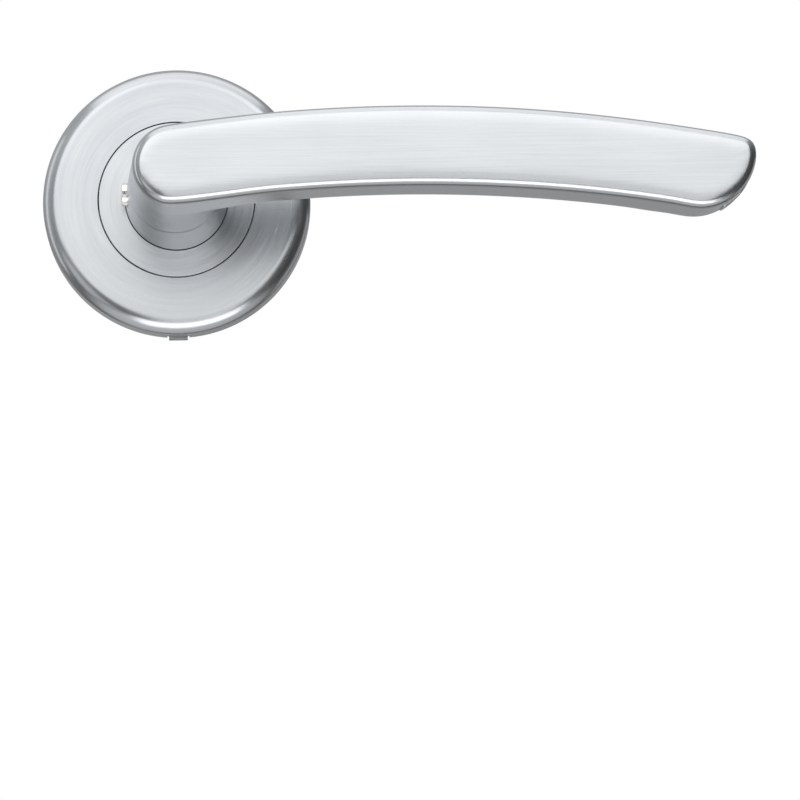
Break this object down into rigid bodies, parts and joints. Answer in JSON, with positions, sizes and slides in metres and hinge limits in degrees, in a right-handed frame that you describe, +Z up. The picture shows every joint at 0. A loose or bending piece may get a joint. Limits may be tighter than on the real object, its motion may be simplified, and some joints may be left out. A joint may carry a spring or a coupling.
{
  "type": "lever door handle on a round rose",
  "caption": "Arched bar lever on a round rose: one side of a lever set, spring-returned, with a square spindle socket and hidden fixing holes.",
  "frame": {"origin": "spindle axis at the door face, which is the back of the rose", "axes": "+X along the lever to its tip, +Y into the door along the spindle axis, +Z up"},
  "size_m": [0.1309, 0.0653, 0.0525],
  "materials": {
    "satin_steel": "satin brushed stainless",
    "plain_steel": "plain rolled steel",
    "dark_steel": "dark hardened steel",
    "cast_base": "dull die casting",
    "nylon": "black nylon"
  },
  "bodies": {
    "rose_base": {"sub_rose": "cast_base", "bearing_collar": "satin_steel", "bearing_bush": "nylon", "cover_clip_1": "plain_steel", "cover_clip_2": "plain_steel", "cover_clip_3": "plain_steel", "back_plate": "plain_steel", "back_plate_screw_1": "dark_steel", "back_plate_screw_2": "dark_steel", "back_plate_screw_3": "dark_steel", "return_spring": "plain_steel", "stop_buffer_upper": "nylon", "stop_buffer_lower": "nylon"},
    "cover": {"rose_cover": "satin_steel"},
    "lever": {"lever_shell": "satin_steel", "tip_plug": "satin_steel", "spindle_hub": "plain_steel", "drive_plate": "plain_steel", "retaining_ring": "dark_steel", "grub_screw": "plain_steel"}
  },
  "joints": [
    {"name": "lever_turn", "type": "hinge", "parent": "rose_base", "child": "lever", "pos_m": [0, 0, 0], "axis": [0, 1, 0], "range_deg": [0, 45], "stiffness_Nm_per_rad": 0.6, "springref_deg": -45.84, "deforming": ["return_spring"]},
    {"name": "cover_slide", "type": "slide", "parent": "rose_base", "child": "cover", "axis": [0, -1, 0], "range_m": [0, 0.03]}
  ]
}
